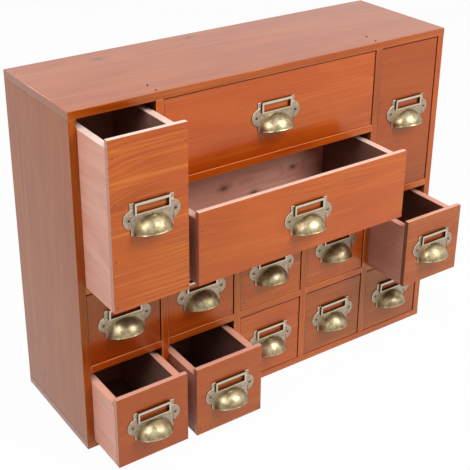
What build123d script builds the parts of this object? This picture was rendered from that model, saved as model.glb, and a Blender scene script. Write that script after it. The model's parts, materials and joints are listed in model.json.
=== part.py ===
from build123d import *
from math import cos, pi, radians, sin, tan
import os

os.makedirs("parts", exist_ok=True)

# A tabletop cabinet of fourteen small drawers. Millimetres, +Z up, front toward -Y.
# The origin is the centre of the rectangle that the cabinet stands on.

# Cabinet: boards of one thickness, butted and nailed.
board_t = 9.0  # top, bottom, sides, shelves and dividers
back_t = 4.0  # thin panel let in between the boards at the back
cabinet_depth = 154.0
columns = 5  # small drawers side by side in the lower half
small_w = 91.0  # width of the opening of a small or a tall drawer
small_h = 91.0  # height of the opening of a small drawer
wide_low_h = 88.0  # height of the lower wide opening
wide_high_h = 94.0  # height of the upper wide opening
arris_r = 0.8  # rounding of the outer long edges

# Running clearances of a drawer in its opening.
gap_left = 0.4
gap_right = 1.4
gap_under = 0.3
gap_over = 1.4
gap_behind = 2.0
front_recess = 0.5  # a shut front lies this far behind the cabinet's front edges

# Drawer: a thin front nailed over the ends of a box of lower boards.
front_t = 6.0
drawer_side_t = 9.0
drawer_back_t = 9.0
drawer_bottom_t = 4.0
rim_drop = 9.5  # how far the box stays below the top edge of the front

# Cup pull with a card frame, stamped from one sheet. Heights are from the line of its two screws.
sheet_t = 1.1
plate_top = 17.5
plate_bottom = 17.5
plate_half_w = 25.3
skirt_half_w = 24.5  # the plate is a little narrower below the ears
ear_r = 10.4
ear_x = 22.6
screw_x = 27.0
screw_hole_r = 1.6
screw_hole_sides = 8
card_half_w = 20.7  # outside of the raised frame
card_low = 4.4  # lower edge of the raised frame
card_raise = 3.2
card_bar_side = 2.2  # visible width of the bars that hold the card
card_bar_top = 2.9
card_bar_low = 1.7
cup_half_w = 21.6
cup_h = 19.0
cup_reach = 20.0
cup_rim_rise = 13.0  # degrees by which the cup's free rim slopes up toward the front
cup_sides = 14  # flats round the cup's half ellipse
cup_courses = 5  # rings of flats from the rim to the crown
cup_crown_angle = 80.0  # degrees round the cup's section at which its flat crown starts

# How far the photographed drawers stand open.
open_tall = 63.0
open_wide = 64.0
open_small_upper = 66.0
open_small_first = 57.0
open_small_second = 58.5

# Where the screw line's middle is from the middle of the front: upward, and to the right.
pull_rise_tall_left = 6.0
pull_rise_tall_right = 9.0
pull_rise_wide = 0.0
pull_rise_small = 2.0
pull_shift_tall_left = 1.3
pull_shift_tall_right = 2.6

# Derived places.
column_pitch = small_w + board_t
cabinet_w = columns * column_pitch + board_t
x_left = -cabinet_w / 2
y_front = -cabinet_depth / 2
y_back = cabinet_depth / 2
y_inner_back = y_back - back_t
z_row_low = board_t
z_row_shelf = z_row_low + small_h
z_row_high = z_row_shelf + board_t
z_mid_shelf = z_row_high + small_h
z_upper = z_mid_shelf + board_t
z_wide_shelf = z_upper + wide_low_h
z_wide_high = z_wide_shelf + board_t
tall_h = wide_low_h + board_t + wide_high_h
z_top = z_upper + tall_h
wide_w = (columns - 2) * column_pitch - board_t
drawer_depth = cabinet_depth - back_t - gap_behind - front_recess


def column_x(column):
    """Left edge of the opening of a column, counted from 0 at the left."""
    return x_left + board_t + column * column_pitch


def board(x, y, z, width, depth, height):
    """A square-edged board whose lowest corner, left and front, is at x, y, z."""
    with BuildPart() as piece:
        with BuildSketch(Plane.XY.offset(z)):
            with Locations((x, y)):
                Rectangle(width, depth, align=Align.MIN)
        extrude(amount=height)
    return piece.part


def finish(shape, name):
    """Name a finished piece and write its file."""
    shape.label = name
    export_step(shape, f"parts/{name}.step")


# Cabinet. The top and bottom lie over the ends of the sides, and their outer edges are eased.
for name, z, outward in (("top_panel", z_top, Axis.Z), ("bottom_panel", 0.0, -Axis.Z)):
    with BuildPart() as panel:
        with BuildSketch(Plane.XY.offset(z)):
            Rectangle(cabinet_w, cabinet_depth)
        extrude(amount=board_t)
        fillet(panel.faces().sort_by(outward)[-1].edges(), arris_r)
    finish(panel.part, name)

side_h = z_top - board_t
inner_w = cabinet_w - 2 * board_t
shelf_depth = y_inner_back - y_front
divider_h = z_mid_shelf - z_row_low
finish(board(x_left, y_front, board_t, board_t, cabinet_depth, side_h), "left_side")
finish(board(-x_left - board_t, y_front, board_t, board_t, cabinet_depth, side_h), "right_side")
finish(board(column_x(0), y_inner_back, board_t, inner_w, back_t, side_h), "back_panel")

# The middle shelf runs from side to side, and the rest butts against it or between the dividers.
finish(board(column_x(0), y_front, z_mid_shelf, inner_w, shelf_depth, board_t), "mid_shelf")
finish(board(column_x(1), y_front, z_wide_shelf, wide_w, shelf_depth, board_t), "wide_shelf")
for place, column in (("left", 1), ("right", columns - 1)):
    x = column_x(column) - board_t
    finish(board(x, y_front, z_upper, board_t, shelf_depth, tall_h), f"upper_divider_{place}")
for column in range(1, columns):
    x = column_x(column) - board_t
    finish(board(x, y_front, z_row_low, board_t, shelf_depth, divider_h), f"lower_divider_{column}")
for column in range(columns):
    x = column_x(column)
    finish(board(x, y_front, z_row_shelf, small_w, shelf_depth, board_t), f"row_shelf_{column + 1}")


def cup_form(inset):
    """The cup's half dome as a closed form, drawn in by inset: half ellipses stacked up from the rim."""
    corners = []
    for course in range(cup_courses + 1):
        lean = radians(cup_crown_angle * course / cup_courses)
        level = (cup_h - inset) * sin(lean) - plate_bottom
        for side in range(cup_sides + 1):
            turn = pi * side / cup_sides
            x = (cup_half_w - inset) * cos(lean) * cos(turn)
            reach = (cup_reach - inset) * cos(lean) * sin(turn)
            corners.append((x, level, reach))
    with BuildPart() as form:
        ConvexPolyhedron(corners)
    return form.part


def stamped_pull():
    """One cup pull. Its screw line is the local X axis, local Y is up and local Z points out."""
    card_h = plate_top - card_low
    tray_z = card_raise - sheet_t
    with BuildPart() as pull:
        # Flat plate with an ear at each end.
        with BuildSketch():
            Rectangle(2 * plate_half_w, plate_top, align=(Align.CENTER, Align.MIN))
            Rectangle(2 * skirt_half_w, plate_bottom, align=(Align.CENTER, Align.MAX))
            with Locations((-ear_x, 0), (ear_x, 0)):
                Circle(ear_r)
            with Locations((-screw_x, 0), (screw_x, 0)):
                RegularPolygon(screw_hole_r, screw_hole_sides, mode=Mode.SUBTRACT)
        extrude(amount=sheet_t)

        # Card frame: the sheet stands up in a shallow tray, open at the back, with a window in front.
        with BuildSketch():
            with Locations((0, card_low)):
                Rectangle(2 * card_half_w, card_h, align=(Align.CENTER, Align.MIN))
        extrude(amount=card_raise)
        with BuildSketch():
            with Locations((0, card_low + sheet_t)):
                tray_w = 2 * (card_half_w - sheet_t)
                Rectangle(tray_w, card_h - 2 * sheet_t, align=(Align.CENTER, Align.MIN))
        extrude(amount=tray_z, mode=Mode.SUBTRACT)
        with BuildSketch():
            with Locations((0, card_low + card_bar_low)):
                window_w = 2 * (card_half_w - card_bar_side)
                window_h = card_h - card_bar_low - card_bar_top
                Rectangle(window_w, window_h, align=(Align.CENTER, Align.MIN))
        extrude(amount=card_raise, mode=Mode.SUBTRACT)

        # Cup: a half dome, hollow and open to the drawer front and downward.
        add(cup_form(0))
        add(cup_form(sheet_t), mode=Mode.SUBTRACT)
        with BuildSketch(Plane.YZ):
            with BuildLine():
                rim_end = cup_reach + sheet_t
                rim_lift = (rim_end - sheet_t) * tan(radians(cup_rim_rise))
                foot = (-plate_bottom, sheet_t)
                Polyline(foot, (-plate_bottom, rim_end), (rim_lift - plate_bottom, rim_end), close=True)
            make_face()
        extrude(amount=cup_half_w, both=True, mode=Mode.SUBTRACT)
    return pull.part


def drawer(name, column, z, width, height, open_by, pull_rise, pull_shift=0.0):
    """A drawer in the opening whose lower left corner is at the given column and height."""
    front_w = width - gap_left - gap_right
    front_h = height - gap_under - gap_over
    left = column_x(column) + gap_left
    low = z + gap_under
    y_face = y_front + front_recess - open_by
    finish(board(left, y_face, low, front_w, front_t, front_h), f"{name}_front")

    # Two sides, with the back board and the thin bottom between them. The boards only touch.
    y_box = y_face + front_t
    box_depth = drawer_depth - front_t
    box_h = front_h - rim_drop
    right = left + front_w - drawer_side_t
    inner_left = left + drawer_side_t
    inner_right_w = right - inner_left
    floor_depth = box_depth - drawer_back_t
    boards = [
        board(left, y_box, low, drawer_side_t, box_depth, box_h),
        board(right, y_box, low, drawer_side_t, box_depth, box_h),
        board(inner_left, y_box + floor_depth, low, inner_right_w, drawer_back_t, box_h),
        board(inner_left, y_box, low, inner_right_w, floor_depth, drawer_bottom_t),
    ]
    finish(Compound([solid for piece in boards for solid in piece.solids()]), f"{name}_box")

    seat = Plane(
        origin=(left + front_w / 2 + pull_shift, y_face, low + front_h / 2 + pull_rise),
        x_dir=(1, 0, 0),
        z_dir=(0, -1, 0),
    )
    with BuildPart() as pull:
        add(pull_master.moved(seat.location))
    finish(pull.part, f"{name}_pull")


pull_master = stamped_pull()
last = columns - 1
rise, shift = pull_rise_tall_left, pull_shift_tall_left
drawer("tall_left", 0, z_upper, small_w, tall_h, open_tall, rise, shift)
rise, shift = pull_rise_tall_right, pull_shift_tall_right
drawer("tall_right", last, z_upper, small_w, tall_h, 0.0, rise, shift)
drawer("wide_upper", 1, z_wide_high, wide_w, wide_high_h, 0.0, pull_rise_wide)
drawer("wide_lower", 1, z_upper, wide_w, wide_low_h, open_wide, pull_rise_wide)
for column in range(columns):
    open_by = open_small_upper if column == last else 0.0
    name = f"small_upper_{column + 1}"
    drawer(name, column, z_row_high, small_w, small_h, open_by, pull_rise_small)
open_lower_row = {0: open_small_first, 1: open_small_second}
for column in range(columns):
    open_by = open_lower_row.get(column, 0.0)
    name = f"small_lower_{column + 1}"
    drawer(name, column, z_row_low, small_w, small_h, open_by, pull_rise_small)
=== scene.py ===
import json
import math
import bpy
from mathutils import Matrix, Vector

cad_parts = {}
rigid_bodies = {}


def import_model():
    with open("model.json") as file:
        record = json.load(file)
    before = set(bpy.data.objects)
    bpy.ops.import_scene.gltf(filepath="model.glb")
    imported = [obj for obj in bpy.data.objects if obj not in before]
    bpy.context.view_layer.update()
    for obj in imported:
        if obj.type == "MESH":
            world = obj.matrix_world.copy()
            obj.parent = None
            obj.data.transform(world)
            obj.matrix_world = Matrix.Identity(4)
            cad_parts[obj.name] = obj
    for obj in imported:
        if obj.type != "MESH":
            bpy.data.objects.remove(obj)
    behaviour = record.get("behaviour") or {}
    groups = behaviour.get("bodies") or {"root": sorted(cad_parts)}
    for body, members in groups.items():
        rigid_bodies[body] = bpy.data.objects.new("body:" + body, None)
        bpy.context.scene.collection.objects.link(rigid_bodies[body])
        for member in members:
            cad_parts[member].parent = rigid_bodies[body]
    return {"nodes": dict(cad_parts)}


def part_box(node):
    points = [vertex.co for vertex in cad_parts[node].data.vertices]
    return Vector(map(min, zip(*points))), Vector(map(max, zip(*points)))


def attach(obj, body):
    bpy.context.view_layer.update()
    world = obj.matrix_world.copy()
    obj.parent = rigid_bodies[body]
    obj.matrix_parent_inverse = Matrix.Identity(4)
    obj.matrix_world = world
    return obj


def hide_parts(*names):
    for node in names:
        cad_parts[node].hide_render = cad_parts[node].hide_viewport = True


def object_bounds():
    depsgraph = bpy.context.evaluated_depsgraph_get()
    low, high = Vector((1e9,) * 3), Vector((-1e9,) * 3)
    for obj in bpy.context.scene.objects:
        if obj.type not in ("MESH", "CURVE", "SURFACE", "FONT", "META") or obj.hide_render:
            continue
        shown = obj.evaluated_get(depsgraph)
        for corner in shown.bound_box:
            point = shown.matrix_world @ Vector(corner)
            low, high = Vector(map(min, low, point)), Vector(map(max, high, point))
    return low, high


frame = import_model()
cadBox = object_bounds()
mm = 0.001  # lengths in the settings are in millimetres, and the scene is in metres
inMm = 1000
quarterTurn = math.pi / 2
print("stage: frame loaded,", len(frame["nodes"]), "nodes")


# small tools

def leaveEditing():
    if bpy.context.object and bpy.context.object.mode != "OBJECT":
        bpy.ops.object.mode_set(mode="OBJECT")


def clearSelection():
    leaveEditing()
    bpy.ops.object.select_all(action="DESELECT")


def takeUp(piece):
    clearSelection()
    piece.select_set(True)
    bpy.context.view_layer.objects.active = piece
    return piece


def named(name):
    piece = bpy.context.object
    piece.name = name
    piece.data.name = name
    return piece


def applyPlace(piece):
    takeUp(piece)
    bpy.ops.object.transform_apply(location=True, rotation=True, scale=True)
    return piece


def inMetres(*lengths):
    return [length * mm for length in lengths]


def block(name, low, high):
    clearSelection()
    middle = [(a + b) / 2 for a, b in zip(low, high)]
    bpy.ops.mesh.primitive_cube_add(size=1, location=middle)
    piece = named(name)
    piece.scale = [b - a for a, b in zip(low, high)]
    return applyPlace(piece)


def disc(name, radius, depth, place, sides):
    # a cylinder that lies along Y
    clearSelection()
    bpy.ops.mesh.primitive_cylinder_add(vertices=sides, radius=radius, depth=depth, location=place,
                                        rotation=(quarterTurn, 0, 0))
    return applyPlace(named(name))


def modify(piece, kind, **settings):
    takeUp(piece)
    modifier = piece.modifiers.new(kind.title(), kind)
    for key, value in settings.items():
        setattr(modifier, key, value)
    bpy.ops.object.modifier_apply(modifier=modifier.name)
    return piece


def eased(piece, width, segments, degrees=30, material=-1):
    # rounds the edges that are sharper than so many degrees
    return modify(piece, "BEVEL", width=width, segments=segments, limit_method="ANGLE",
                  angle_limit=math.radians(degrees), material=material)


def cutAway(piece, tool, operation="DIFFERENCE"):
    modify(piece, "BOOLEAN", object=tool, operation=operation, solver="EXACT")
    bpy.data.objects.remove(tool)
    return piece


def pick(piece, kind, test):
    # selects vertices, edges or polygons by a test, and leaves the piece in edit mode
    takeUp(piece)
    mesh = piece.data
    order = ("vertices", "edges", "polygons")
    bpy.context.tool_settings.mesh_select_mode = [kind == word for word in order]
    for word in order:
        items = getattr(mesh, word)
        items.foreach_set("select", [False] * len(items))
    for item in getattr(mesh, kind):
        item.select = bool(test(item))
    bpy.ops.object.mode_set(mode="EDIT")


def bisect(place, direction, **clear):
    # cuts the whole piece that is being edited along a plane
    bpy.ops.mesh.select_all(action="SELECT")
    bpy.ops.mesh.bisect(plane_co=place, plane_no=direction, **clear)


def assign(piece, slot):
    # gives the selected faces of the piece that is being edited another of its materials
    piece.active_material_index = slot
    bpy.ops.object.material_slot_assign()
    leaveEditing()


def paint(piece, slot, test):
    pick(piece, "polygons", test)
    assign(piece, slot)


def edgePoints(mesh, edge):
    return [mesh.vertices[i].co for i in edge.vertices]


def joined(pieces, name):
    clearSelection()
    for piece in pieces:
        piece.select_set(True)
    bpy.context.view_layer.objects.active = pieces[0]
    if len(pieces) > 1:
        bpy.ops.object.join()
    return named(name)


def smoothed(piece, degrees):
    takeUp(piece)
    bpy.ops.object.shade_smooth_by_angle(angle=math.radians(degrees))
    return piece


def copied(piece, name, place):
    twin = bpy.data.objects.new(name, piece.data.copy())
    twin.data.name = name
    twin.data.transform(Matrix.Translation(place))
    bpy.context.scene.collection.objects.link(twin)
    return twin


# shader maths

class Signal:
    # a number, a colour or a direction in a material, which can be reckoned with
    def __init__(self, tree, socket=None):
        self.tree = tree
        self.socket = socket

    def node(self, kind, settings=None, sockets=None, output=0):
        node = self.tree.nodes.new(kind)
        for key, value in (settings or {}).items():
            setattr(node, key, value)
        for key, value in (sockets or {}).items():
            if isinstance(value, Signal):
                self.tree.links.new(value.socket, node.inputs[key])
            else:
                node.inputs[key].default_value = value
        return Signal(self.tree, node.outputs[output])

    def maths(self, operation, first, second=0.0):
        return self.node("ShaderNodeMath", {"operation": operation}, {0: first, 1: second})

    def __add__(self, other):
        return self.maths("ADD", self, other)

    def __radd__(self, other):
        return self.maths("ADD", other, self)

    def __sub__(self, other):
        return self.maths("SUBTRACT", self, other)

    def __rsub__(self, other):
        return self.maths("SUBTRACT", other, self)

    def __mul__(self, other):
        return self.maths("MULTIPLY", self, other)

    def __rmul__(self, other):
        return self.maths("MULTIPLY", other, self)

    def __truediv__(self, other):
        return self.maths("DIVIDE", self, other)

    def __pow__(self, other):
        return self.maths("POWER", self, other)

    def __abs__(self):
        return self.maths("ABSOLUTE", self)

    def orMore(self, other):
        return self.maths("MAXIMUM", self, other)

    def part(self, letter):
        return self.node("ShaderNodeSeparateXYZ", sockets={0: self}, output=letter)

    def vector(self, x, y, z=0.0):
        return self.node("ShaderNodeCombineXYZ", sockets={0: x, 1: y, 2: z})

    def colour(self, rgb):
        plain = self.node("ShaderNodeRGB")
        plain.socket.default_value = (*rgb, 1)
        return plain

    def between(self, low, high):
        # 0 below low, 1 above high, smooth between
        settings = {"interpolation_type": "SMOOTHSTEP"}
        sockets = {"Value": self, "From Min": low, "From Max": high, "To Min": 0.0, "To Max": 1.0}
        return self.node("ShaderNodeMapRange", settings, sockets)

    def noise(self, scale, detail, roughness):
        sockets = {"Vector": self, "Scale": scale, "Detail": detail, "Roughness": roughness}
        return self.node("ShaderNodeTexNoise", {"noise_dimensions": "3D"}, sockets)

    def tint(self, mask, colour):
        # this colour, moved toward another one by a mask
        target = colour if isinstance(colour, Signal) else (*colour, 1)
        return self.node("ShaderNodeMix", {"data_type": "RGBA"}, {0: mask, 6: self, 7: target}, 2)

    def scaled(self, factor):
        # a colour made lighter or darker by a number
        grey = self.vector(factor, factor, factor)
        return self.node("ShaderNodeVectorMath", {"operation": "MULTIPLY"}, {0: self, 1: grey})


def newMaterial(name):
    material = bpy.data.materials.new(name)
    material.use_nodes = True
    material.node_tree.nodes.clear()
    return material, Signal(material.node_tree)


def closeTree(start, shader, kind="Material"):
    out = start.tree.nodes.new("ShaderNodeOutput" + kind)
    start.tree.links.new(shader.socket, out.inputs[0])


# wood

stains = {
    "stained": {
        "field": (0.515, 0.077, 0.0035), "pale": (0.73, 0.22, 0.028), "deep": (0.40, 0.037, 0.0018),
        "line": (0.30, 0.026, 0.0015), "knot": (0.09, 0.028, 0.010),
        "end": (0.28, 0.075, 0.030), "endShare": 0.5, "rub": (0.95, 0.36, 0.13),
        "ringShare": 0.45, "fibre": 0.15, "cloud": 0.7, "streak": 0.55,
        "roughness": 0.34, "specular": 0.9, "warmth": (1.0, 0.60, 0.12),
        "coat": 0.5, "coatRoughness": 0.12, "bump": 0.10,
    },
    "raw": {
        "field": (0.89, 0.445, 0.335), "pale": (0.94, 0.58, 0.465), "deep": (0.76, 0.33, 0.24),
        "line": (0.56, 0.235, 0.17), "knot": (0.20, 0.075, 0.04),
        "end": (0.46, 0.15, 0.10), "endShare": 0.6, "rub": (0.95, 0.62, 0.50),
        "ringShare": 0.4, "fibre": 0.14, "cloud": 0.5, "streak": 0.5,
        "roughness": 0.55, "specular": 0.4, "warmth": (1.0, 0.9, 0.8),
        "coat": 0.12, "coatRoughness": 0.35, "bump": 0.2,
    },
}
# painted light on the upper edges of the drawers' raw boards: palest on the tall ones, least on the small
# ones, which the drawers above shade
paintedRims = {"tall": (0.97, 0.80, 0.70), "wide": (0.97, 0.76, 0.63), "small": (0.90, 0.46, 0.33)}
# painted shade on the upper edge of a front that stays shut in the cabinet
shadedRim = (0.09, 0.028, 0.015)  # the fronts that hardly leave the cabinet stay darker there
plainLog = {
    "ringMm": 3.4,  # from one year ring to the next
    "taper": 0.03,  # how fast the heart leaves the board, per mm from the tip
    "tip": 0.0,  # where along the board the heart is as deep as core says
    "swing": 26,  # how far the heart wanders, in mm
    "grain": 1.0,  # how strong the figure is
    "tone": 1.0,  # how light the board is
    "paintedShadeDeep": 0.0,  # share of the deep stain mixed in all over, as painted shade
    "rub": 0.0,  # how worn the arrises are
    "coat": 1.0,  # how shiny, next to the stain's own coat
    "ends": 1.0,  # how light the end grain of a front is, as painted shade: 1 for none
}
# noise in the wood: steps per mm along and across the grain, shift, detail, roughness
fields = {
    "swing": (0.0035, 0.012, 0.0, 1.0, 0.5),
    "ripple": (0.012, 0.05, 11.0, 2.0, 0.5),
    "spread": (0.004, 0.03, 23.0, 1.0, 0.5),
    "patch": (0.006, 0.02, 31.0, 1.0, 0.5),
    "cloud": (0.010, 0.035, 47.0, 3.0, 0.5),
    "fibre": (0.02, 1.1, 59.0, 3.0, 0.6),
    "fine": (0.05, 3.2, 71.0, 2.0, 0.6),
    "wide": (0.005, 0.16, 83.0, 2.0, 0.5),
    "thin": (0.007, 0.42, 95.0, 2.0, 0.5),
}
# pairs are the two ends of a smooth step
figure = {
    "seedAlong": 7.31, "seedYears": 3.7, "rippleMm": 2.4, "swingOut": 0.4,
    "spread": 3.0, "years": 3.2, "yearPace": 0.45,
    "latePower": 3, "lateEnd": (0.93, 1.0), "earlyStart": (0.0, 0.25), "earlyEnd": (0.3, 0.8),
    "earlyShare": 0.8, "patch": (0.34, 0.66), "cloud": (0.32, 0.68),
    "wide": (0.56, 0.74), "thin": (0.57, 0.72), "thinShare": 0.8, "streakLeast": 0.35,
    "fibre": 2.2, "fine": 1.6, "heights": {"fibre": 0.6, "fine": 0.5, "late": 0.3},
    "bumpDepth": 0.4 * mm, "fibreRoughness": 0.2, "coatIor": 1.5,
}
# a knot: distances are in its own radius
knotForm = {
    "stretch": 1.7, "ripple": 0.5, "bulge": 1.3, "bulgeFade": (0.0, 5.5),
    "fade": (0.5, 1.3), "halo": 0.45, "haloFade": (0.7, 2.6), "share": 0.85,
}
# where a face of a board looks, and how much painted shade, painted light or wear that gives it
faces = {
    "arris": (0.93, 0.98), "arrisLine": 0.6, "front": (0.35, 0.8), "end": (0.6, 0.9), "endLate": 0.3,
    "back": (0.5, 0.8), "backShade": 0.5, "up": (0.75, 0.95), "rimShare": 0.75,
    "hidden": (0.6, 0.9), "hiddenFromMm": (0.6, 1.4), "hiddenShade": 0.72,
    "shadedInsideSideMm": (0.6, 0.4), "shadedInsideTopMm": (-0.4, -0.9), "shadedInsideShade": 0.66,
}
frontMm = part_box("left_side")[0].y * inMm  # the cabinet's front edges


def knotted(reach, radius, sizeMm):
    # year rings that flow round a knot, and the knot's own dark spot
    form = knotForm
    radius = radius + (1 - reach.between(*form["bulgeFade"])) * (sizeMm * form["bulge"])
    halo = (1 - reach.between(*form["haloFade"])) * form["halo"]
    return radius, (1 - reach.between(*form["fade"])).orMore(halo)


def woodMarks(place, axes, core, seed, knots, log):
    # the marks that a log leaves in a board, each a signal that shows where it is
    through = next(letter for letter in "XYZ" if letter not in axes)
    length, width, depth = (place.part(letter) * inMm for letter in (*axes, through))

    def field(name):
        along, across, shift, detail, roughness = fields[name]
        x = length * along + (seed * figure["seedAlong"] + shift)
        return place.vector(x, width * across, depth * across + seed).noise(1.0, detail, roughness)

    swing = field("swing") - 0.5
    ripple = field("ripple") - 0.5
    sideways = width - core[0] + swing * log["swing"] + ripple * figure["rippleMm"]
    inward = depth - core[1] + (length - log["tip"]) * log["taper"]
    radius = (sideways * sideways + inward * inward) ** 0.5
    radius = radius + swing * (log["swing"] * figure["swingOut"])
    knotMask = None
    for alongMm, acrossMm, sizeMm in knots:
        stepA = (length - alongMm) / knotForm["stretch"]
        stepB = width - acrossMm
        reach = (stepA * stepA + stepB * stepB) ** 0.5 / sizeMm + ripple * knotForm["ripple"]
        radius, spot = knotted(reach, radius, sizeMm)
        knotMask = spot if knotMask is None else knotMask.orMore(spot)
    yearPlace = place.vector(radius * (figure["yearPace"] / log["ringMm"]), seed * figure["seedYears"])
    years = yearPlace.noise(1.0, 1.0, 0.5) * figure["years"]
    turns = radius / log["ringMm"] + field("spread") * figure["spread"] + years
    ring = place.maths("FRACT", turns)
    streak = field("wide").between(*figure["wide"])
    streak = streak.orMore(field("thin").between(*figure["thin"]) * figure["thinShare"])
    least = figure["streakLeast"]
    return {
        "knot": knotMask,
        "late": (ring ** figure["latePower"]) * (1 - ring.between(*figure["lateEnd"])),
        "early": ring.between(*figure["earlyStart"]) * (1 - ring.between(*figure["earlyEnd"])),
        "patch": field("patch").between(*figure["patch"]) * log["grain"],
        "cloud": field("cloud").between(*figure["cloud"]),
        "streak": streak * (least + log["grain"] * (1 - least)),
        "fibre": field("fibre"),
        "fine": field("fine"),
    }


def stainColour(place, look, marks):
    strength = marks["patch"] * look["ringShare"]
    colour = place.colour(look["field"])
    colour = colour.tint(marks["cloud"] * look["cloud"], look["deep"])
    colour = colour.tint(marks["early"] * strength * figure["earlyShare"], look["pale"])
    colour = colour.tint(marks["streak"] * look["streak"], look["pale"])
    return colour.tint(marks["late"] * strength, look["line"])


def woodShade(place, facing, endFace, look, marks, log, edges, shadedInside, hidden):
    # how light the wood is: its tone and fibres, and painted shade on the faces that the photo shows dark
    shade = log["tone"] + (marks["fibre"] - 0.5) * look["fibre"] * figure["fibre"]
    shade = shade + (marks["fine"] - 0.5) * look["fibre"] * figure["fine"]
    # painted shade on the faces inside a drawer box
    if shadedInside:
        middle, half, top = shadedInside
        wide = [half + step for step in faces["shadedInsideSideMm"]]
        deep = [top + step for step in faces["shadedInsideTopMm"]]
        inside = abs(place.part("X") * inMm - middle).between(*wide)
        inside = inside * (place.part("Z") * inMm).between(*deep)
        shade = shade * (1 - inside * faces["shadedInsideShade"])
    if edges:
        # painted shade on the back face of a front, inside the drawer
        shade = shade * (1 - facing.part("Y").between(*faces["back"]) * faces["backShade"])
        # painted shade on the end grain of the fronts that stand in the shade of others
        shade = shade * (1 - endFace * (1 - log["ends"]))
    # painted shade on the faces inside the cabinet, behind its front edges
    for sign, letter in zip(hidden[::2], hidden[1::2]):
        looksIn = (facing.part(letter) * float(sign + "1")).between(*faces["hidden"])
        behind = (place.part("Y") * inMm).between(*(frontMm + step for step in faces["hiddenFromMm"]))
        shade = shade * (1 - looksIn * behind * faces["hiddenShade"])
    return shade


def woodMaterial(name, stain, axes, core, seed, knots=(), edges=None, paintedRim=None, shadedInside=None, hidden="",
                 **log):
    # axes: letters of the grain's axis and of the one that runs across the wide face.
    # core: where the heart of the log runs, in mm (across the wide face, through the board).
    # knots: (along, across, radius) in mm, each a branch that goes through the board.
    # edges: the stain of all faces but the front one, where only that face was stained.
    # the colour of painted light on upper edges, or of painted shade where a front stays shut.
    # the drawer's inside: (middle, half width, top) in mm, where the wood gets painted shade.
    # hidden: the ways, such as "+X-X", that a board's faces inside the cabinet look; these faces get
    # painted shade.
    # log: how it differs from plainLog.
    look = stains[stain]
    skin = stains[edges or stain]
    log = {**plainLog, **log}
    material, start = newMaterial(name)
    place = start.node("ShaderNodeTexCoord", output="Object")
    facing = start.node("ShaderNodeTexCoord", output="Normal")
    marks = woodMarks(place, axes, core, seed, knots, log)
    x, y, z = (abs(facing.part(letter)) for letter in "XYZ")
    arris = 1 - x.orMore(y).orMore(z).between(*faces["arris"])
    endFace = abs(facing.part(axes[0])).between(*faces["end"])

    # a front in shade gets the deep stain mixed in as painted shade
    colour = stainColour(place, look, marks).tint(log["paintedShadeDeep"], look["deep"])
    coat = look["coat"] * log["coat"]
    if edges:
        frontFace = (-1 * facing.part("Y")).between(*faces["front"])
        colour = colour.tint(1 - frontFace, stainColour(place, skin, marks))
        colour = colour.tint(arris * faces["arrisLine"], look["line"])
        coat = skin["coat"] + frontFace * (coat - skin["coat"])
    colour = colour.tint(endFace * (skin["endShare"] + marks["late"] * faces["endLate"]), skin["end"])
    if log["rub"]:
        colour = colour.tint(arris * log["rub"], look["rub"])
    if knots:
        colour = colour.tint(marks["knot"] * knotForm["share"], look["knot"])
    colour = colour.scaled(woodShade(place, facing, endFace, look, marks, log, edges, shadedInside, hidden))
    # painted light, or painted shade, on the faces that look up
    if paintedRim:
        colour = colour.tint(facing.part("Z").between(*faces["up"]) * faces["rimShare"], paintedRim)

    fibre, fine, late = (marks[mark] * share for mark, share in figure["heights"].items())
    bump = start.node("ShaderNodeBump", sockets={
        "Strength": look["bump"], "Distance": figure["bumpDepth"], "Height": fibre + fine + late,
    })
    shader = start.node("ShaderNodeBsdfPrincipled", sockets={
        "Base Color": colour, "Normal": bump, "Coat Weight": coat,
        "Roughness": look["roughness"] + (marks["fibre"] - 0.5) * figure["fibreRoughness"],
        "Coat Roughness": look["coatRoughness"], "Coat IOR": figure["coatIor"],
        "Specular IOR Level": look["specular"], "Specular Tint": (*look["warmth"], 1),
    })
    closeTree(start, shader)
    return material


# metals

metals = {
    "cup": {
        "base": (0.48, 0.40, 0.25), "dull": (0.16, 0.11, 0.04),
        "roughness": 0.37, "mottle": 0.7, "grain": 0.65, "metallic": 1.0,
    },
    "plate": {
        "base": (0.50, 0.40, 0.29), "dull": (0.24, 0.185, 0.135),
        "roughness": 0.42, "mottle": 0.6, "grain": 1.6, "metallic": 1.0,
    },
    # paler brass for rubbed faces and eased edges: wear, with a painted highlight on the edges
    "wearAndHighlight": {
        "base": (0.66, 0.56, 0.43), "dull": (0.46, 0.38, 0.28),
        "roughness": 0.38, "mottle": 0.3, "grain": 1.2, "metallic": 1.0,
    },
    # near-black metal for walls and cut edges: painted shade, with some patina
    "patinaAndShade": {
        "base": (0.09, 0.065, 0.045), "dull": (0.045, 0.03, 0.02),
        "roughness": 0.5, "mottle": 0.6, "grain": 1.6, "metallic": 1.0,
    },
    # near-black metal that paints shade into the screws' cross recess
    "screw": {
        "base": (0.045, 0.035, 0.028), "dull": (0.02, 0.016, 0.012),
        "roughness": 0.4, "mottle": 0.5, "grain": 2.0, "metallic": 1.0,
    },
    "nail": {
        "base": (0.035, 0.022, 0.016), "dull": (0.02, 0.014, 0.01),
        "roughness": 0.6, "mottle": 0.5, "grain": 2.0, "metallic": 0.3,
    },
}
tarnish = {
    "mottleScale": 260, "mottle": (0.38, 0.66), "speckScale": 1500, "darkest": 0.92, "specks": 0.16,
    "domeShadeFacing": (0.0, 0.65), "domeShadeShare": 0.75, "mottleHeight": 0.5, "mottleRoughness": 0.08,
    "bump": 0.08, "bumpDepth": 0.2 * mm,
}


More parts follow.
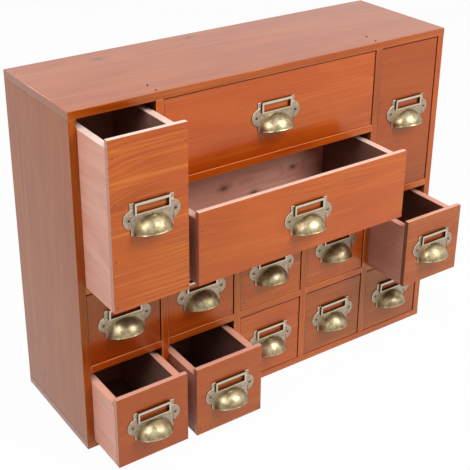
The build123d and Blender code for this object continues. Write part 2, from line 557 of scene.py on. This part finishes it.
def metalMaterial(name):
    look = metals[name]
    material, start = newMaterial("metal_" + name)
    place = start.node("ShaderNodeTexCoord", output="Object")
    mottle = place.noise(tarnish["mottleScale"] * look["grain"], 4.0, 0.6).between(*tarnish["mottle"])
    specks = place.noise(tarnish["speckScale"] * look["grain"], 2.0, 0.6)
    colour = start.colour(look["base"]).tint(mottle * look["mottle"], look["dull"])
    if name == "cup":  # painted shade: the dome's faces that look sideways or down take the dull colour, while its crown keeps the base
        upward = start.node("ShaderNodeTexCoord", output="Normal").part("Z")
        sides = 1 - upward.between(*tarnish["domeShadeFacing"])
        colour = colour.tint(sides * tarnish["domeShadeShare"], look["dull"])
    colour = colour.scaled(tarnish["darkest"] + specks * tarnish["specks"])
    bump = start.node("ShaderNodeBump", sockets={
        "Strength": tarnish["bump"], "Distance": tarnish["bumpDepth"],
        "Height": specks + mottle * tarnish["mottleHeight"],
    })
    shader = start.node("ShaderNodeBsdfPrincipled", sockets={
        "Base Color": colour, "Metallic": look["metallic"], "Normal": bump,
        "Roughness": look["roughness"] + mottle * tarnish["mottleRoughness"],
    })
    closeTree(start, shader)
    return material


brass = {name: metalMaterial(name) for name in metals}
print("stage: metals")


def giveMetals(piece, *names):
    for name in names:
        piece.data.materials.append(brass[name])


# drawers

drawerNames = sorted(node.removesuffix("_front") for node in frame["nodes"] if node.endswith("_front"))


def kindOf(drawer):
    return drawer.split("_")[0]


def middleMm(name):
    low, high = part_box(name)
    return [(a + b) / 2 * inMm for a, b in zip(low, high)]


# cabinet boards and drawer fronts keep their CAD solids

boards = {
    "arrisMm": 0.6, "frontArrisMm": 0.5, "backArrisMm": 0.2, "arrisSegments": 2, "arrisAngle": 40,
    "weldMm": 0.01,
    "openMm": 50,  # a front that is this near to the foremost point of all stands open
    "knots": {"top_panel": ((-153, 51, 4.2), (-25, 63, 3.8)), "left_side": ((40, 30, 2.0),)},
    # the ways that the faces inside the cabinet look, which get painted shade
    "hidden": {"top_panel": "-Z", "bottom_panel": "+Z", "left_side": "+X", "right_side": "-X"},
    "lyingHeart": (0, -45), "standingHeart": (0, 45), "backPanelHeart": (0, 120),
    "rub": 0.5, "grain": 0.6, "tone": 0.93,
}
# boards that stand out: heart is (across, through) in mm from the board's middle
logs = {
    "tall_left_front": {
        "heart": (18, 9), "taper": -0.32, "tip": -158, "ringMm": 4.6, "swing": 22, "grain": 0.8,
    },
    "tall_right_front": {"heart": (-150, 60), "ringMm": 5.0, "grain": 0.5, "tone": 0.76, "paintedShadeDeep": 0.55},
    "wide_upper_front": {
        "heart": (-70, 75), "ringMm": 4.2, "swing": 34, "grain": 0.35, "paintedShadeDeep": 0.2, "coat": 1.2,
    },
    "wide_lower_front": {
        "heart": (60, 26), "taper": 0.10, "ringMm": 4.8, "swing": 30, "grain": 0.35, "ends": 0.55,
        "tone": 0.97,
    },
    "small_upper_1_front": {"heart": (20, 40), "tone": 0.80, "grain": 0.6, "paintedShadeDeep": 0.8},
    "small_upper_2_front": {"heart": (-60, 45), "grain": 0.6, "paintedShadeDeep": 0.4},
    "small_upper_5_front": {"heart": (-20, 30), "tone": 0.72, "grain": 0.5, "ends": 0.42},
    "small_lower_1_front": {
        "heart": (-90, 40), "tone": 0.88, "grain": 0.55, "ringMm": 3.6, "paintedShadeDeep": 0.6,
    },
    "small_lower_2_front": {
        "heart": (80, 40), "tone": 0.86, "grain": 0.55, "ringMm": 4.0, "ends": 0.62, "paintedShadeDeep": 0.35,
    },
    "small_lower_4_front": {"heart": (40, 50), "tone": 0.66, "grain": 0.5},
    "small_lower_5_front": {"heart": (-50, 40), "tone": 0.70, "grain": 0.5},
    "upper_divider_right": {"tone": 0.68, "rub": 0.4},
    "lower_divider_2": {"tone": 0.84},
    "lower_divider_4": {"tone": 0.80},
    "top_panel": {"heart": (10, -50), "grain": 0.45, "tone": 0.76, "rub": 0.15, "ringMm": 5.0},
    "left_side": {
        "heart": (-15, 70), "grain": 0.3, "tone": 0.68, "rub": 0.15, "ringMm": 6.0, "coat": 0.42,
    },
    "right_side": {"heart": (20, 60), "grain": 0.4, "tone": 0.9, "rub": 0.15, "ringMm": 5.0},
    "wide_shelf": {"rub": 0.95},
    "mid_shelf": {"heart": (10, -55), "rub": 0.7},
}


def dressNode(name, material, arrisMm):
    node = frame["nodes"][name]
    for slot in node.material_slots:
        slot.material = material
    if not node.material_slots:
        node.data.materials.append(material)
    weld = node.modifiers.new("Weld", "WELD")
    weld.merge_threshold = boards["weldMm"] * mm
    if arrisMm:
        bevel = node.modifiers.new("Arris", "BEVEL")
        bevel.width = arrisMm * mm
        bevel.segments = boards["arrisSegments"]
        bevel.limit_method = "ANGLE"
        bevel.angle_limit = math.radians(boards["arrisAngle"])


def logOf(name, seed, heart):
    # the board's own log, or a plain one whose rings differ from board to board
    log = {"rub": boards["rub"], **logs.get(name, {})}
    if name not in logs:
        ringMm = 3.0 + (seed * 29 % 20) / 10
        log.update({"ringMm": ringMm, "grain": boards["grain"], "tone": boards["tone"]})
    return log.pop("heart", heart), log


def dressFront(name, seed):
    x, y, z = middleMm(name)
    heart, log = logOf(name, seed, ((seed * 37) % 60 - 30, 38 + (seed * 13) % 30))
    log["rub"] = 0
    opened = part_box(name)[0].y < cadBox[0].y + boards["openMm"] * mm
    paintedRim = paintedRims[kindOf(name)] if opened else shadedRim
    core = (z + heart[0], y + heart[1])
    wood = woodMaterial("wood_" + name, "stained", "XZ", core, seed, edges="raw", paintedRim=paintedRim, **log)
    dressNode(name, wood, boards["frontArrisMm"])


def dressBoard(name, seed, lying):
    x, y, z = middleMm(name)
    heart, log = logOf(name, seed, boards["lyingHeart" if lying else "standingHeart"])
    core = (y + heart[0], (z if lying else x) + heart[1])
    axes = "XY" if lying else "ZY"
    ways = boards["hidden"].get(name, "+Z-Z" if lying else "+X-X")
    knots = boards["knots"].get(name, ())
    wood = woodMaterial("wood_" + name, "stained", axes, core, seed, knots, hidden=ways, **log)
    # the two panels are rounded in the CAD
    dressNode(name, wood, 0 if "panel" in name else boards["arrisMm"])


def dressBackPanel(name, seed):
    x, y, z = middleMm(name)
    heart = boards["backPanelHeart"]
    core = (z + heart[0], y + heart[1])
    wood = woodMaterial("wood_" + name, "stained", "XZ", core, seed, hidden="-Y")
    dressNode(name, wood, boards["backArrisMm"])


for seed, name in enumerate(sorted(frame["nodes"]), 1):
    if name.endswith("_front"):
        dressFront(name, seed)
    elif name in ("top_panel", "bottom_panel") or "shelf" in name:
        dressBoard(name, seed, True)
    elif name.endswith("_side") or "divider" in name:
        dressBoard(name, seed, False)
    elif name == "back_panel":
        dressBackPanel(name, seed)
print("stage: boards")


# drawer boxes: sides, back and bottom with eased edges

drawerBox = {
    "sideT": 9.0, "backT": 9.0, "bottomT": 4.0, "arrisMm": 0.6, "arrisSegments": 2,
    # hearts are in mm from the box's middle
    "sideHeart": (15, -260), "bottomHeart": (0, -90), "backHeart": (-10, 40),
    "knots": {"wide_lower": ((-18.8, 234.5, 3.6), (26.3, 217.1, 3.4), (86.0, 237.6, 3.0))},
    # painted shade on the left and the right side, as their tones: 1 for none
    "sideShades": {"wide_lower": (0.30, 0.75), "small_upper_5": (0.60, 0.9), "small_lower_2": (0.42, 1.0)},
    # painted shade on the back boards inside the drawers, and painted light on the wide lower one
    "backLightAndShade": {"wide_lower": 1.14}, "backPaintedShade": 0.55,
    "firstSeed": 60, "seedStep": 2, "bottomSeed": 5, "backSeed": 3,
}


def boxWoods(drawer, seed):
    # woods of the left side, the right side, the back and the bottom
    b = drawerBox
    low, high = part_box(drawer + "_box")
    x, y, z = middleMm(drawer + "_box")
    # the drawer's inside, whose wood gets painted shade
    shadedInside = (x, (high.x - low.x) / 2 * inMm - b["sideT"], high.z * inMm)
    paintedRim = paintedRims[kindOf(drawer)]
    name = "wood_" + drawer
    core = (z + b["sideHeart"][0], x + b["sideHeart"][1])
    # the sides' tones carry painted shade
    left, right = (
        woodMaterial(f"{name}_{place}", "raw", "YZ", core, seed, shadedInside=shadedInside, paintedRim=paintedRim, tone=tone)
        for place, tone in zip(("left", "right"), b["sideShades"].get(drawer, (1.0, 1.0)))
    )
    core = (y + b["bottomHeart"][0], z + b["bottomHeart"][1])
    bottom = woodMaterial(name + "_bottom", "raw", "XY", core, seed + b["bottomSeed"], shadedInside=shadedInside)
    core = (z + b["backHeart"][0], y + b["backHeart"][1])
    knots = b["knots"].get(drawer, ())
    tone = b["backLightAndShade"].get(drawer, b["backPaintedShade"])
    back = woodMaterial(name + "_back", "raw", "XZ", core, seed + b["backSeed"], knots, paintedRim=paintedRim, tone=tone)
    return left, right, back, bottom


def makeBox(drawer, seed):
    low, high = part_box(drawer + "_box")
    side, back, bottom = (drawerBox[word] * mm for word in ("sideT", "backT", "bottomT"))
    parts = (
        block("left", low, (low.x + side, high.y, high.z)),
        block("right", (high.x - side, low.y, low.z), high),
        block("back", (low.x + side, high.y - back, low.z), (high.x - side, high.y, high.z)),
        block("bottom", (low.x + side, low.y, low.z), (high.x - side, high.y - back, low.z + bottom)),
    )
    for piece, wood in zip(parts, boxWoods(drawer, seed)):
        piece.data.materials.append(wood)
        eased(piece, drawerBox["arrisMm"] * mm, drawerBox["arrisSegments"])
    box = joined(parts, drawer + "_box_boards")
    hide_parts(drawer + "_box")
    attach(box, drawer)


for count, drawer in enumerate(drawerNames):
    makeBox(drawer, drawerBox["firstSeed"] + count * drawerBox["seedStep"])
print("stage: drawer boxes")


# cup pull with a card frame, drawn at the origin: screw line on X, the drawer's face at Y 0

pull = {
    "sheet": 1.1, "top": 17.5, "bottom": 17.5, "halfWidth": 25.3, "skirt": 24.5,
    "ear": 10.4, "earX": 22.6, "earSides": 72, "screwX": 27.0, "edge": 0.42, "edgeSegments": 3,
    "neck": 2.6, "neckSegments": 5, "neckRise": 9, "neckMiss": 0.12, "neckSideMiss": 0.4,
    "dimpleWide": 2.5, "dimpleNarrow": 1.2, "dimpleDepth": 1.3, "dimpleFront": 1.15, "dimpleSides": 32,
    "screwZone": 3.4, "cardZone": 0.4, "frontMiss": 0.02, "overlap": 0.02, "reach": 10,
    "cardHalf": 20.7, "cardLow": 4.4, "raise": 3.2, "barSide": 2.2, "barTop": 2.9, "barLow": 1.7,
    "cardCorner": 0.7, "rounding": 0.3, "roundingSegments": 3,
    "cupHalf": 21.6, "cupHeight": 19.0, "cupReach": 20.0, "cupSegments": 72, "hollowSegments": 48,
    "rimRise": 13.0, "lip": 0.55, "lipHeight": 0.9, "lipFront": 2.5, "miss": 0.1,
}
nearlyAll = 0.9  # of a length, or of a normal that looks straight ahead
wearAndHighlight, patinaAndShade = 1, 2  # places in a pull's list of materials


def cupSphere(name, inset, segments):
    clearSelection()
    bpy.ops.mesh.primitive_uv_sphere_add(segments=segments, ring_count=segments // 2, radius=1,
                                         location=(0, 0, -pull["bottom"] * mm))
    piece = named(name)
    piece.scale = [(pull[word] - inset) * mm for word in ("cupHalf", "cupReach", "cupHeight")]
    return applyPlace(piece)


def flatEdges(mesh):
    # edges at which two faces that look forward meet
    counts = {}
    for face in mesh.polygons:
        if face.normal.y < -nearlyAll:
            for key in face.edge_keys:
                counts[key] = counts.get(key, 0) + 1
    return {key for key, count in counts.items() if count > 1}


def cutDimple(plate, side):
    # the seat of a countersunk screw
    p = pull
    clearSelection()
    place = (side * p["screwX"] * mm, (-p["dimpleFront"] + p["dimpleDepth"] / 2) * mm, 0)
    bpy.ops.mesh.primitive_cone_add(vertices=p["dimpleSides"], radius1=p["dimpleWide"] * mm,
                                    radius2=p["dimpleNarrow"] * mm, depth=p["dimpleDepth"] * mm,
                                    location=place, rotation=(-quarterTurn, 0, 0))
    cutAway(plate, applyPlace(named("dimple")))


def makePlate():
    p = pull
    plate = block("plate", inMetres(-p["halfWidth"], -p["sheet"], -p["bottom"]),
                  inMetres(p["halfWidth"], 0, p["top"]))
    pick(plate, "vertices", lambda v: v.co.z < 0)
    bpy.ops.transform.resize(value=(p["skirt"] / p["halfWidth"], 1, 1))
    leaveEditing()
    for side in (-1, 1):
        place = (side * p["earX"] * mm, -p["sheet"] * mm / 2, 0)
        cutAway(plate, disc("ear", p["ear"] * mm, p["sheet"] * mm, place, p["earSides"]), "UNION")

    def isNeck(edge):
        # a corner of the outline where an ear meets the plate
        a, b = edgePoints(plate.data, edge)
        drop = 0.5 - a.z / ((p["top"] + p["bottom"]) * mm)
        side = p["halfWidth"] + (p["skirt"] - p["halfWidth"]) * drop
        crosses = abs(a.y - b.y) >= p["sheet"] * mm * nearlyAll
        gap = math.hypot(abs(a.x) - p["earX"] * mm, a.z)
        onEar = abs(gap - p["ear"] * mm) < p["neckMiss"] * mm
        onSide = abs(abs(a.x) - side * mm) < p["neckSideMiss"] * mm
        return crosses and onEar and onSide and abs(a.z) > p["neckRise"] * mm

    pick(plate, "edges", isNeck)
    bpy.ops.mesh.bevel(offset=p["neck"] * mm, segments=p["neckSegments"], affect="EDGES")
    leaveEditing()
    # openings: behind the card frame, behind the cup, and a dimple for each screw
    inner = p["sheet"] + p["overlap"]
    hollow = block("hollow", inMetres(-(p["cardHalf"] - inner), -p["reach"], p["cardLow"] + inner),
                   inMetres(p["cardHalf"] - inner, p["reach"], p["top"] - inner))
    cutAway(plate, hollow)
    cutAway(plate, cupSphere("hollow", p["sheet"] * nearlyAll, p["hollowSegments"]))
    for side in (-1, 1):
        cutDimple(plate, side)
    giveMetals(plate, "plate", "wearAndHighlight", "patinaAndShade")
    flat = flatEdges(plate.data)

    def isOutline(edge):
        # an edge of the front, but not one of the openings
        ends = edgePoints(plate.data, edge)
        onFront = all(abs(v.y + p["sheet"] * mm) < p["frontMiss"] * mm for v in ends)
        below = (p["top"] - p["cardZone"]) * mm
        inside = all(abs(v.x) < p["earX"] * mm and v.z < below for v in ends)
        gaps = [math.hypot(abs(v.x) - p["screwX"] * mm, v.z) for v in ends]
        nearScrew = all(gap < p["screwZone"] * mm for gap in gaps)
        return onFront and not inside and not nearScrew and edge.key not in flat

    pick(plate, "edges", isOutline)
    # the outline's eased edge gets the pale brass: wear and a painted highlight
    bpy.ops.mesh.bevel(offset=p["edge"] * mm, segments=p["edgeSegments"], affect="EDGES", material=wearAndHighlight)
    leaveEditing()
    paint(plate, patinaAndShade, lambda f: abs(f.normal.y) < 0.2)  # painted shade on the cut edge of the sheet, as a dark line round the plate, with some patina
    return plate


def makeCardFrame():
    p = pull
    tray = block("cardFrame", inMetres(-p["cardHalf"], -p["raise"], p["cardLow"]),
                 inMetres(p["cardHalf"], 0, p["top"]))

    def isCorner(edge):
        a, b = edgePoints(tray.data, edge)
        return abs(a.y - b.y) > p["sheet"] * mm

    pick(tray, "edges", isCorner)
    bpy.ops.mesh.bevel(offset=p["cardCorner"] * mm, segments=p["roundingSegments"], affect="EDGES")
    pick(tray, "polygons", lambda f: f.normal.y > nearlyAll)
    bpy.ops.mesh.delete(type="FACE")
    right = (p["cardHalf"] - p["barSide"]) * mm
    low = (p["cardLow"] + p["barLow"]) * mm
    high = (p["top"] - p["barTop"]) * mm
    face = -(p["raise"] - p["miss"]) * mm
    for x in (-right, right):
        bisect((x, 0, 0), (1, 0, 0))
    for z in (low, high):
        bisect((0, 0, z), (0, 0, 1))

    def inWindow(f):
        x, y, z = f.center
        return abs(x) < right and low < z < high and y < face

    pick(tray, "polygons", inWindow)
    bpy.ops.mesh.delete(type="FACE")
    leaveEditing()
    modify(tray, "SOLIDIFY", thickness=p["sheet"] * mm, offset=-1)
    giveMetals(tray, "plate", "wearAndHighlight", "patinaAndShade")
    # painted shade, with some patina, on the tray's rounded edges
    eased(tray, p["rounding"] * mm, p["roundingSegments"], 45, patinaAndShade)
    # the bars' front faces get the pale brass: wear and a painted highlight
    paint(tray, wearAndHighlight, lambda f: f.normal.y < -nearlyAll and f.center.y < face)
    # painted shade, with some patina, on the tray's walls, which outline it darkly
    paint(tray, patinaAndShade, lambda f: f.normal.y > -0.5)
    return tray


def makeCup():
    p = pull
    cup = cupSphere("cup", 0, p["cupSegments"])
    slope = math.tan(math.radians(p["rimRise"]))
    normal = Vector((0, slope, 1)).normalized()
    foot = Vector((0, -p["sheet"] * mm, -p["bottom"] * mm))
    pick(cup, "vertices", lambda v: True)
    bisect((0, 0, 0), (0, 1, 0), clear_outer=True)
    bisect(foot, normal, clear_inner=True)
    # a second ring just over the rim lets the lip flare without bending the dome
    bisect(foot + normal * p["lipHeight"] * mm, normal)
    leaveEditing()

    def isRim(v):
        return (v.co - foot).dot(normal) < p["miss"] * mm and v.co.y < -p["lipFront"] * mm

    pick(cup, "vertices", isRim)
    flare = 1 + p["lip"] / p["cupHalf"]
    bpy.ops.transform.resize(value=(flare, flare, 1), center_override=(0, 0, 0))
    leaveEditing()
    modify(cup, "SOLIDIFY", thickness=p["sheet"] * mm, offset=-1)
    giveMetals(cup, "cup", "wearAndHighlight")
    # the cup's eased rim gets the pale brass: wear and a painted highlight line
    return eased(cup, p["rounding"] * mm, p["roundingSegments"], 50, wearAndHighlight)


screw = {
    "head": 2.0, "thick": 1.2, "sides": 32, "proud": 0.02, "turn": 0.6,
    # each step of the crown: how far in, how far out
    "crown": ((0.35, 0.16), (0.6, 0.1)),
    "slotWidth": 0.55, "slotDepth": 0.8, "slotPlace": 1.4, "reach": 2.7,
}


def makeScrew():
    # a countersunk head with a cross recess, on the line of Y
    s = screw
    head = disc("screw", s["head"] * mm, s["thick"] * mm, (0, -s["thick"] / 2 * mm, 0), s["sides"])
    pick(head, "polygons", lambda f: f.normal.y < -nearlyAll)
    for inset, rise in s["crown"]:
        bpy.ops.mesh.inset(thickness=inset * mm)
        bpy.ops.transform.translate(value=(0, -rise * mm, 0))
    leaveEditing()
    for turn in (s["turn"], s["turn"] + quarterTurn):
        clearSelection()
        place = (0, -s["slotPlace"] * mm, 0)
        bpy.ops.mesh.primitive_cube_add(size=1, location=place, rotation=(0, turn, 0))
        tool = named("recess")
        tool.scale = inMetres(s["reach"], s["slotDepth"] * 2, s["slotWidth"])
        cutAway(head, applyPlace(tool))
    giveMetals(head, "plate", "screw")

    def inRecess(f):
        return abs(f.normal.y) < 0.5 and math.hypot(f.center.x, f.center.z) < s["reach"] / 2 * mm

    # painted shade: the walls of the cross recess get the near-black metal
    pick(head, "polygons", inRecess)
    bpy.ops.mesh.select_more()
    assign(head, 1)
    return smoothed(head, 30)


pullMaster = joined([makePlate(), makeCardFrame(), makeCup()], "pullMaster")
smoothed(pullMaster, 35)
screwMaster = makeScrew()
print("stage: pull drawn,", len(pullMaster.data.polygons), "faces")


# nails: small dark heads

nails = {
    "radius": 0.85, "thick": 0.8, "sides": 14, "edge": 0.12, "edgeSegments": 2,
    "proud": 0.05, "insetLeft": 4.0, "insetRight": 2.6, "strayIn": 0.5, "strayUp": 4,
    # heights on a front, as shares of its own
    "tall": (0.03, 0.31, 0.64, 0.895), "wide": (0.12, 0.70), "small": (0.09, 0.71),
    "top": ((-151, -71), (-151, -54), (149, -70), (151, -52)),
}


def makeNail():
    place = (0, (nails["thick"] / 2 - nails["proud"]) * mm, 0)
    nail = disc("nail", nails["radius"] * mm, nails["thick"] * mm, place, nails["sides"])
    pick(nail, "polygons", lambda f: f.normal.y < -nearlyAll)
    bpy.ops.mesh.bevel(offset=nails["edge"] * mm, segments=nails["edgeSegments"], affect="EDGES")
    leaveEditing()
    giveMetals(nail, "nail")
    return smoothed(nail, 40)


nailMaster = makeNail()


def nailPlaces(drawer):
    # a column of nails at each end of the front, each one a little astray
    low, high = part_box(drawer + "_front")
    kind = kindOf(drawer)
    for count, share in enumerate(nails[kind]):
        for side, edge, inset in ((1, low.x, "insetLeft"), (-1, high.x, "insetRight")):
            stray = math.sin(count * 5.1 + side * 2.3 + low.x * 40)
            x = edge + side * (nails[inset] + stray * nails["strayIn"]) * mm
            z = low.z + (high.z - low.z) * share
            yield x, low.y, z + (0 if kind == "tall" else stray * nails["strayUp"] * mm)


def dressDrawer(drawer):
    low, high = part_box(drawer + "_pull")
    seat = Vector(((low.x + high.x) / 2, high.y, low.z + pull["bottom"] * mm))
    piece = copied(pullMaster, drawer + "_cup_pull", seat)
    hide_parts(drawer + "_pull")
    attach(piece, drawer)
    steps = [inMetres(side * pull["screwX"], -screw["proud"], 0) for side in (-1, 1)]
    screws = joined([copied(screwMaster, "screw", seat + Vector(step)) for step in steps],
                    drawer + "_screws")
    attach(screws, drawer)
    row = joined([copied(nailMaster, "nail", place) for place in nailPlaces(drawer)], drawer + "_nails")
    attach(row, drawer)


for drawer in drawerNames:
    dressDrawer(drawer)

# the heads in the top are laid down along Z, and stand a little prouder
takeUp(nailMaster)
bpy.ops.transform.rotate(value=-quarterTurn, orient_axis="X", center_override=(0, 0, 0))
bpy.ops.object.transform_apply(location=False, rotation=True, scale=False)
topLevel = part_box("top_panel")[1].z
heads = [copied(nailMaster, "nail", (x * mm, y * mm, topLevel)) for x, y in nails["top"]]
topNails = joined(heads, "top_nails")
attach(topNails, "cabinet")
for master in (pullMaster, screwMaster, nailMaster):
    bpy.data.objects.remove(master)
print("stage: pulls, screws and nails on", len(drawerNames), "drawers")


# floor, light and camera

studio = {
    "floorSize": 16.0, "floorLevel": -0.0002, "floorGrey": 0.86, "floorEmission": 0.97,
    "worldDiffuse": 0.08, "aim": (0.0, 0.0, 0.2),
}
lamps = {
    "key": {"place": (0.465, -0.914, 1.225), "size": 0.65, "power": 14.4},
    "left": {"place": (-1.02, -0.30, 1.15), "size": 0.7, "power": 7.8},
    "rear": {"place": (-0.25, 1.15, 1.2), "size": 0.7, "power": 7.0},
    "low": {"place": (0.66, -1.10, 0.85), "size": 0.4, "power": 3.6},
}
white = (1, 1, 1, 1)


def seenRay(start):
    # 1 where the camera sees it, straight, in a glossy face or through a clear one, else 0
    camera, glossy, through = (
        start.node("ShaderNodeLightPath", output=f"Is {kind} Ray")
        for kind in ("Camera", "Glossy", "Transmission")
    )
    return camera.orMore(glossy).orMore(through)


def makeFloor():
    clearSelection()
    place = (0, 0, studio["floorLevel"])
    bpy.ops.mesh.primitive_plane_add(size=studio["floorSize"], location=place)
    floor = applyPlace(named("floor"))
    material, start = newMaterial("floorPale")
    grey = (*[studio["floorGrey"]] * 3, 1)
    diffuse = start.node("ShaderNodeBsdfDiffuse", sockets={"Color": grey})
    glow = start.node("ShaderNodeEmission", sockets={"Color": white, "Strength": 1.0})
    share = seenRay(start) * studio["floorEmission"]
    closeTree(start, start.node("ShaderNodeMixShader", sockets={0: share, 1: diffuse, 2: glow}))
    floor.data.materials.append(material)


def makeWorld():
    world = bpy.data.worlds.new("studio")
    bpy.context.scene.world = world
    world.use_nodes = True
    world.node_tree.nodes.clear()
    start = Signal(world.node_tree)
    strength = studio["worldDiffuse"] + seenRay(start) * (1.0 - studio["worldDiffuse"])
    sky = start.node("ShaderNodeBackground", sockets={"Color": white, "Strength": strength})
    closeTree(start, sky, "World")


def makeLamp(name):
    settings = lamps[name]
    place = Vector(settings["place"])
    clearSelection()
    bpy.ops.object.light_add(type="AREA", location=place)
    lamp = bpy.context.object
    lamp.name = name + "Lamp"
    lamp.data.shape = "SQUARE"
    lamp.data.size = settings["size"]
    lamp.data.energy = settings["power"]
    lamp.rotation_euler = (Vector(studio["aim"]) - place).to_track_quat("-Z", "Y").to_euler()
    if name == "low":  # reaches into the open drawers, and makes no highlight of its own
        lamp.visible_camera = False
        lamp.visible_glossy = False


camera = {
    "place": (-0.650620, -0.922796, 0.769554), "turn": (65.724, -0.010, -33.778),
    "lens": 78.472, "sensor": 36, "shiftX": 0.046809, "shiftY": -0.148936, "near": 0.01, "far": 60,
}


def makeCamera():
    clearSelection()
    turn = [math.radians(degrees) for degrees in camera["turn"]]
    bpy.ops.object.camera_add(location=camera["place"], rotation=turn)
    eye = bpy.context.object
    eye.name = "photoCamera"
    eye.data.sensor_width = camera["sensor"]
    eye.data.sensor_height = camera["sensor"]
    eye.data.sensor_fit = "HORIZONTAL"
    eye.data.lens = camera["lens"]
    eye.data.shift_x = camera["shiftX"]
    eye.data.shift_y = camera["shiftY"]
    eye.data.clip_start = camera["near"]
    eye.data.clip_end = camera["far"]
    bpy.context.scene.camera = eye


makeFloor()
makeWorld()
for name in lamps:
    makeLamp(name)
makeCamera()
bpy.context.scene.view_settings.view_transform = "Standard"
print("stage: studio")
